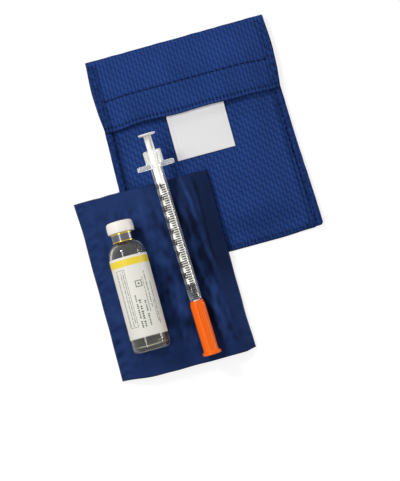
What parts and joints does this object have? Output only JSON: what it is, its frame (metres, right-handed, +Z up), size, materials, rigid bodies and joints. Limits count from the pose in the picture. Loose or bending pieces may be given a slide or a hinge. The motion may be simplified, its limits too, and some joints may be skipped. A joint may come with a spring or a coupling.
{
  "type": "insulin cooling case",
  "caption": "Fabric cooling case laid open on a table: cover with fold-over flap, crystal-filled inner pouch, and the vial and capped syringe it carries.",
  "frame": {"origin": "middle of the cover's back face, where it rests on the table", "axes": "+X across the cover to the right, +Y along the cover towards the fold of its flap, +Z up from the table"},
  "size_m": [0.123, 0.1701, 0.0284],
  "materials": {
    "cover_cloth": "ribbed royal blue cloth, dull",
    "binding_tape": "folded tape of the same cloth, dull",
    "closure_tape": "hook and loop tape",
    "label_cloth": "plain woven white label, bare",
    "pouch_cloth": "fine navy cloth with a soft sheen",
    "crystals": "dry polymer grains",
    "vial_glass": "clear",
    "liquid": "clear liquid",
    "vial_label": "printed paper, satin",
    "rubber": "moulded, dull",
    "crimp_metal": "crimped, bright",
    "flip_cap": "moulded off-white",
    "clear_plastic": "clear, milky",
    "plunger_plastic": "moulded white",
    "hub_plastic": "moulded white",
    "needle_steel": "fine drawn tube",
    "orange_plastic": "moulded orange"
  },
  "bodies": {
    "cover": {"cover_back_panel": "cover_cloth", "cover_front_panel": "cover_cloth", "cover_side_binding_left": "binding_tape", "cover_side_binding_right": "binding_tape", "closure_loop_strip": "closure_tape", "flap_fold": "cover_cloth"},
    "flap": {"flap_panel": "cover_cloth", "closure_hook_strip": "closure_tape", "woven_label": "label_cloth"},
    "pouch": {"pouch_back_outer": "pouch_cloth", "pouch_back_lining": "pouch_cloth", "pouch_front_lining": "pouch_cloth", "pouch_front_outer": "pouch_cloth", "crystal_fill_back_1": "crystals", "crystal_fill_back_2": "crystals", "crystal_fill_back_3": "crystals", "crystal_fill_back_4": "crystals", "crystal_fill_front_1": "crystals", "crystal_fill_front_2": "crystals", "crystal_fill_front_3": "crystals", "crystal_fill_front_4": "crystals"},
    "vial": {"vial_glass": "vial_glass", "insulin_fill": "liquid", "vial_label": "vial_label", "vial_stopper": "rubber", "vial_crimp_collar": "crimp_metal"},
    "vial_cap": {"vial_flip_cap": "flip_cap"},
    "syringe": {"syringe_barrel": "clear_plastic", "needle_hub": "hub_plastic", "needle": "needle_steel"},
    "plunger": {"plunger_rod": "plunger_plastic", "plunger_stopper": "rubber"},
    "needle_cap": {"needle_cap": "orange_plastic"}
  },
  "joints": [
    {"name": "flap_hinge", "type": "hinge", "parent": "cover", "child": "flap", "pos_m": [0, 0.0587, 0.00225], "axis": [-1, 0, 0], "range_deg": [0, 165], "deforming": ["flap_fold"]},
    {"name": "pouch_lift", "type": "slide", "parent": "cover", "child": "pouch", "axis": [0, 0, 1], "range_m": [0, 0.04]},
    {"name": "vial_lift", "type": "slide", "parent": "pouch", "child": "vial", "axis": [0, 0, 1], "range_m": [0, 0.04]},
    {"name": "vial_cap_pull", "type": "slide", "parent": "vial", "child": "vial_cap", "axis": [0, 1, 0], "range_m": [0, 0.012]},
    {"name": "syringe_lift", "type": "slide", "parent": "pouch", "child": "syringe", "axis": [0, 0, 1], "range_m": [0, 0.04]},
    {"name": "plunger_slide", "type": "slide", "parent": "syringe", "child": "plunger", "axis": [-0.0267, 0.9948, 0.0982], "range_m": [0, 0.06]},
    {"name": "needle_cap_pull", "type": "slide", "parent": "syringe", "child": "needle_cap", "axis": [0.0267, -0.9948, -0.0982], "range_m": [0, 0.03]}
  ]
}
